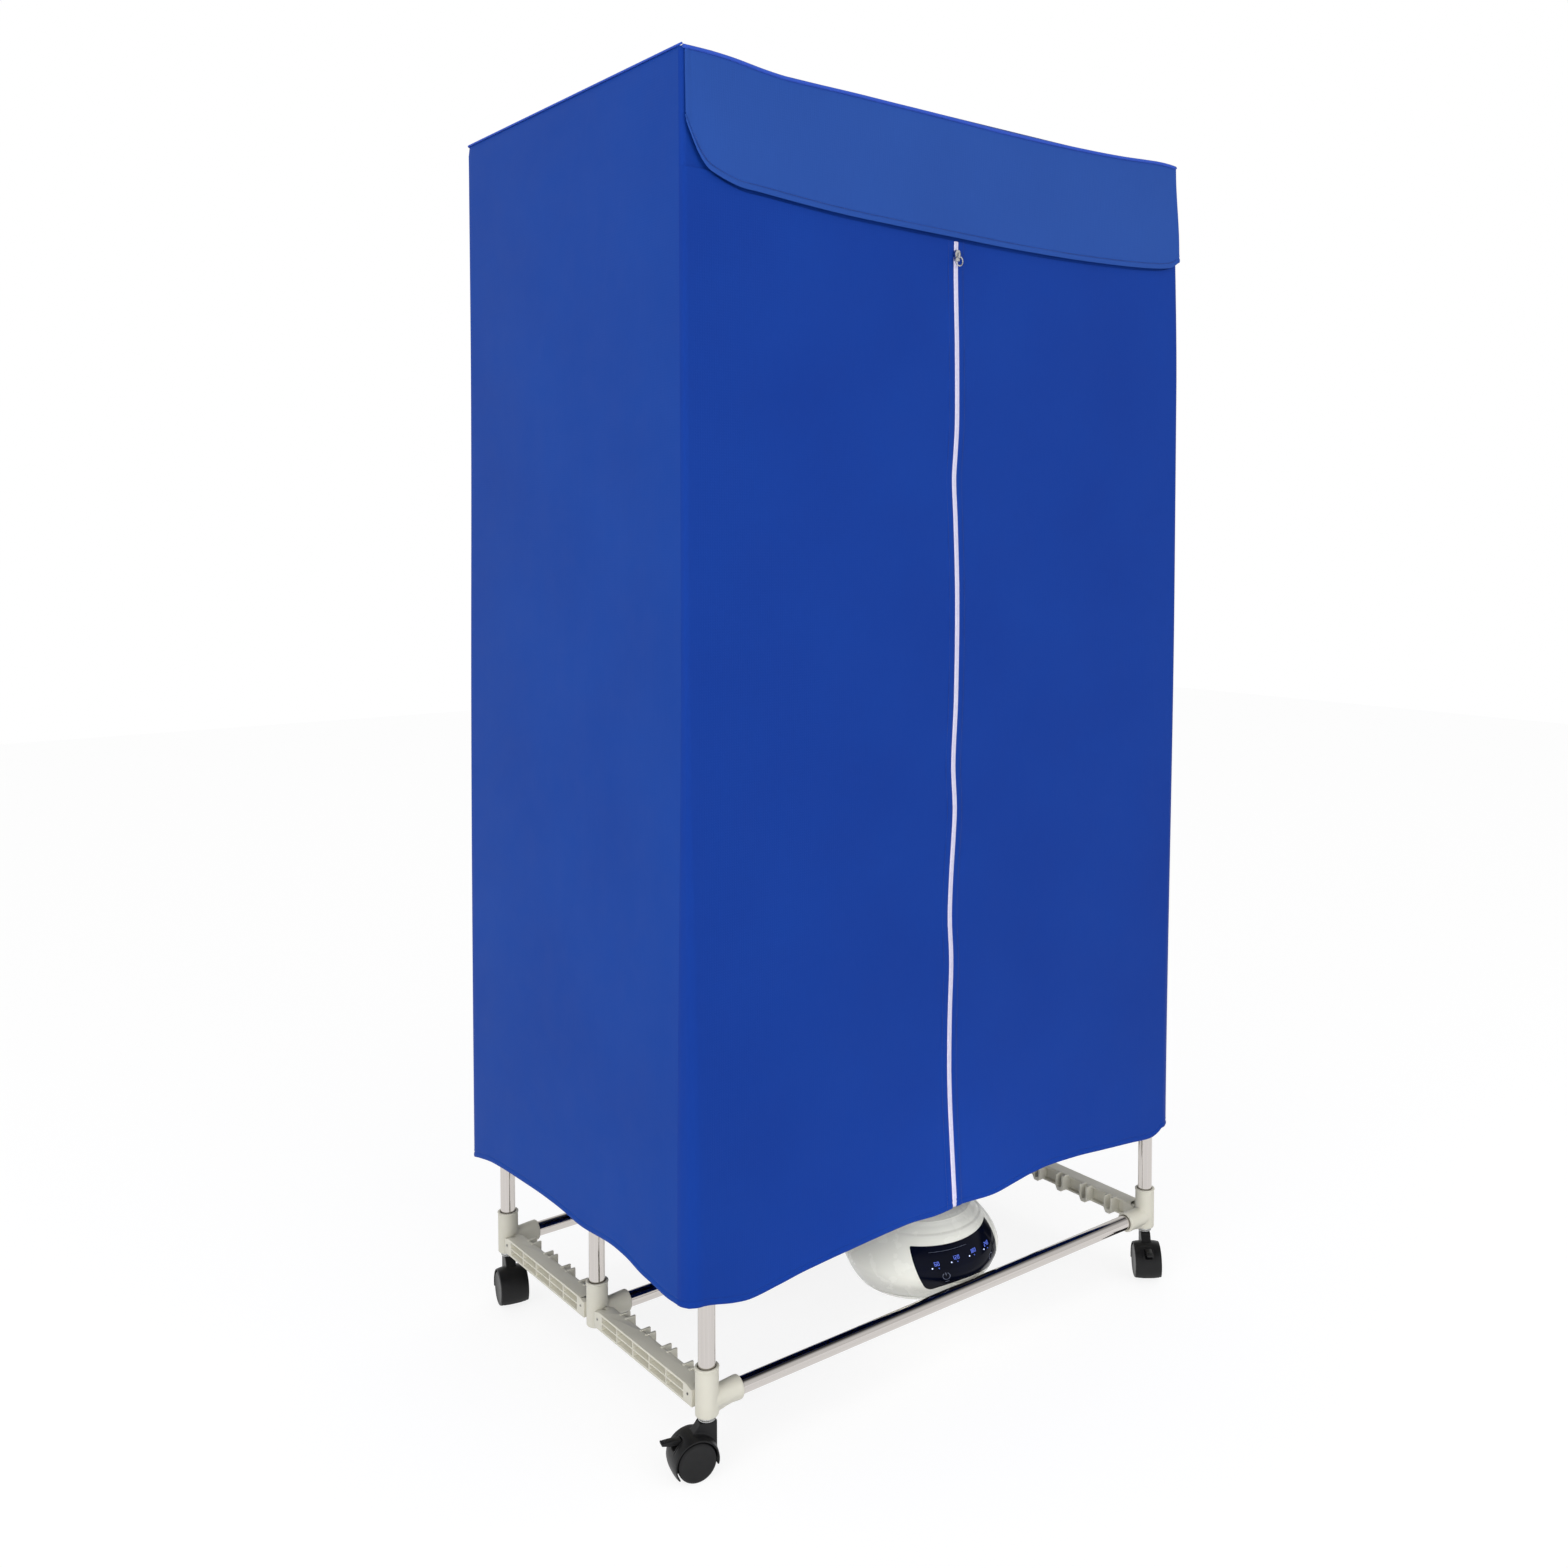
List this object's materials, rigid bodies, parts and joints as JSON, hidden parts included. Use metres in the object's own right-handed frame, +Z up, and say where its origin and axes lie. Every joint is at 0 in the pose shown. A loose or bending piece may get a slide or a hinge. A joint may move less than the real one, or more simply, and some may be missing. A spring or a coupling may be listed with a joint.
{
  "type": "portable clothes dryer",
  "caption": "Wheeled tube-frame clothes dryer: zipped fabric cover over hanging rods, with a round fan heater clipped between the base tubes.",
  "frame": {"origin": "on the floor under the middle of the whole object", "axes": "+X to the right along the front, +Y from the front to the back, +Z up; the door curtains face -Y"},
  "size_m": [0.7927, 0.5729, 1.5],
  "materials": {
    "cream_plastic": "satin moulded",
    "stainless_tube": "polished",
    "black_nylon": "satin moulded",
    "zinc_steel": "zinc plated",
    "blue_cloth": "woven polyester",
    "off_white_plastic": "semi-gloss",
    "black_panel": "high gloss",
    "fan_plastic": "moulded",
    "finned_aluminium": "matt finned"
  },
  "bodies": {
    "root": {"back_hanging_rod": "stainless_tube", "back_left_post": "stainless_tube", "back_right_post": "stainless_tube", "base_back_left_connector": "cream_plastic", "base_back_right_connector": "cream_plastic", "base_back_tube": "stainless_tube", "base_front_left_connector": "cream_plastic", "base_front_right_connector": "cream_plastic", "base_front_tube": "stainless_tube", "base_left_back_rack_bar": "cream_plastic", "base_left_front_rack_bar": "cream_plastic", "base_middle_left_connector": "cream_plastic", "base_middle_right_connector": "cream_plastic", "base_middle_tube": "stainless_tube", "base_right_back_rack_bar": "cream_plastic", "base_right_front_rack_bar": "cream_plastic", "cover_shell": "blue_cloth", "fan_motor": "zinc_steel", "front_hanging_rod": "stainless_tube", "front_left_post": "stainless_tube", "front_right_post": "stainless_tube", "heater_base_pan": "off_white_plastic", "heater_body": "off_white_plastic", "heater_control_panel": "black_panel", "heater_outlet_cap": "off_white_plastic", "heating_element": "finned_aluminium", "middle_left_post": "stainless_tube", "middle_right_post": "stainless_tube", "top_back_left_connector": "cream_plastic", "top_back_right_connector": "cream_plastic", "top_back_tube": "stainless_tube", "top_front_left_connector": "cream_plastic", "top_front_right_connector": "cream_plastic", "top_front_tube": "stainless_tube", "top_left_back_rack_bar": "cream_plastic", "top_left_front_rack_bar": "cream_plastic", "top_middle_left_connector": "cream_plastic", "top_middle_right_connector": "cream_plastic", "top_middle_tube": "stainless_tube", "top_right_back_rack_bar": "cream_plastic", "top_right_front_rack_bar": "cream_plastic"},
    "front_left_caster": {"front_left_caster_stem": "zinc_steel", "front_left_caster_hood": "black_nylon"},
    "front_left_wheels": {"front_left_caster_wheels": "black_nylon"},
    "front_left_brake": {"front_left_brake_lever": "black_nylon"},
    "front_right_caster": {"front_right_caster_stem": "zinc_steel", "front_right_caster_hood": "black_nylon"},
    "front_right_wheels": {"front_right_caster_wheels": "black_nylon"},
    "front_right_brake": {"front_right_brake_lever": "black_nylon"},
    "back_left_caster": {"back_left_caster_stem": "zinc_steel", "back_left_caster_hood": "black_nylon"},
    "back_left_wheels": {"back_left_caster_wheels": "black_nylon"},
    "back_right_caster": {"back_right_caster_stem": "zinc_steel", "back_right_caster_hood": "black_nylon"},
    "back_right_wheels": {"back_right_caster_wheels": "black_nylon"},
    "left_door": {"left_door_curtain": "blue_cloth"},
    "right_door": {"right_door_curtain": "blue_cloth"},
    "flap": {"front_flap": "blue_cloth"},
    "zip": {"zip_slider": "zinc_steel"},
    "fan": {"heater_fan": "fan_plastic"}
  },
  "joints": [
    {"name": "front_left_swivel", "type": "hinge", "parent": "root", "child": "front_left_caster", "pos_m": [-0.35, -0.245, 0.0625], "axis": [0, 0, 1], "continuous": true},
    {"name": "front_left_wheel_roll", "type": "hinge", "parent": "front_left_caster", "child": "front_left_wheels", "pos_m": [-0.36559, -0.2414, 0.0215], "axis": [-0.225, -0.9744, 0], "continuous": true},
    {"name": "front_left_brake_press", "type": "hinge", "parent": "front_left_caster", "child": "front_left_brake", "pos_m": [-0.38113, -0.23781, 0.04191], "axis": [-0.225, -0.9744, 0], "range_deg": [0, 10]},
    {"name": "front_right_swivel", "type": "hinge", "parent": "root", "child": "front_right_caster", "pos_m": [0.35, -0.245, 0.0625], "axis": [0, 0, 1], "continuous": true},
    {"name": "front_right_wheel_roll", "type": "hinge", "parent": "front_right_caster", "child": "front_right_wheels", "pos_m": [0.33993, -0.25743, 0.0215], "axis": [0.7771, -0.6293, 0], "continuous": true},
    {"name": "front_right_brake_press", "type": "hinge", "parent": "front_right_caster", "child": "front_right_brake", "pos_m": [0.3299, -0.26983, 0.04191], "axis": [0.7771, -0.6293, 0], "range_deg": [0, 10]},
    {"name": "back_left_swivel", "type": "hinge", "parent": "root", "child": "back_left_caster", "pos_m": [-0.35, 0.245, 0.0625], "axis": [0, 0, 1], "continuous": true},
    {"name": "back_left_wheel_roll", "type": "hinge", "parent": "back_left_caster", "child": "back_left_wheels", "pos_m": [-0.35333, 0.22935, 0.0215], "axis": [0.9781, -0.2079, 0], "continuous": true},
    {"name": "back_right_swivel", "type": "hinge", "parent": "root", "child": "back_right_caster", "pos_m": [0.35, 0.245, 0.0625], "axis": [0, 0, 1], "continuous": true},
    {"name": "back_right_wheel_roll", "type": "hinge", "parent": "back_right_caster", "child": "back_right_wheels", "pos_m": [0.36131, 0.25631, 0.0215], "axis": [-0.7071, 0.7071, 0], "continuous": true},
    {"name": "left_door_swing", "type": "hinge", "parent": "root", "child": "left_door", "pos_m": [-0.384, -0.262, 0.78], "axis": [0, 0, -1], "range_deg": [0, 110]},
    {"name": "right_door_swing", "type": "hinge", "parent": "root", "child": "right_door", "pos_m": [0.384, -0.262, 0.78], "axis": [0, 0, 1], "range_deg": [0, 110]},
    {"name": "flap_lift", "type": "hinge", "parent": "root", "child": "flap", "pos_m": [0, -0.262, 1.4973], "axis": [-1, 0, 0], "range_deg": [0, 115]},
    {"name": "zip_slide", "type": "slide", "parent": "left_door", "child": "zip", "axis": [0, 0, -1], "range_m": [0, 1.12]},
    {"name": "fan_spin", "type": "hinge", "parent": "root", "child": "fan", "pos_m": [0.035, -0.1425, 0.09532], "axis": [0, 0, 1], "continuous": true}
  ]
}
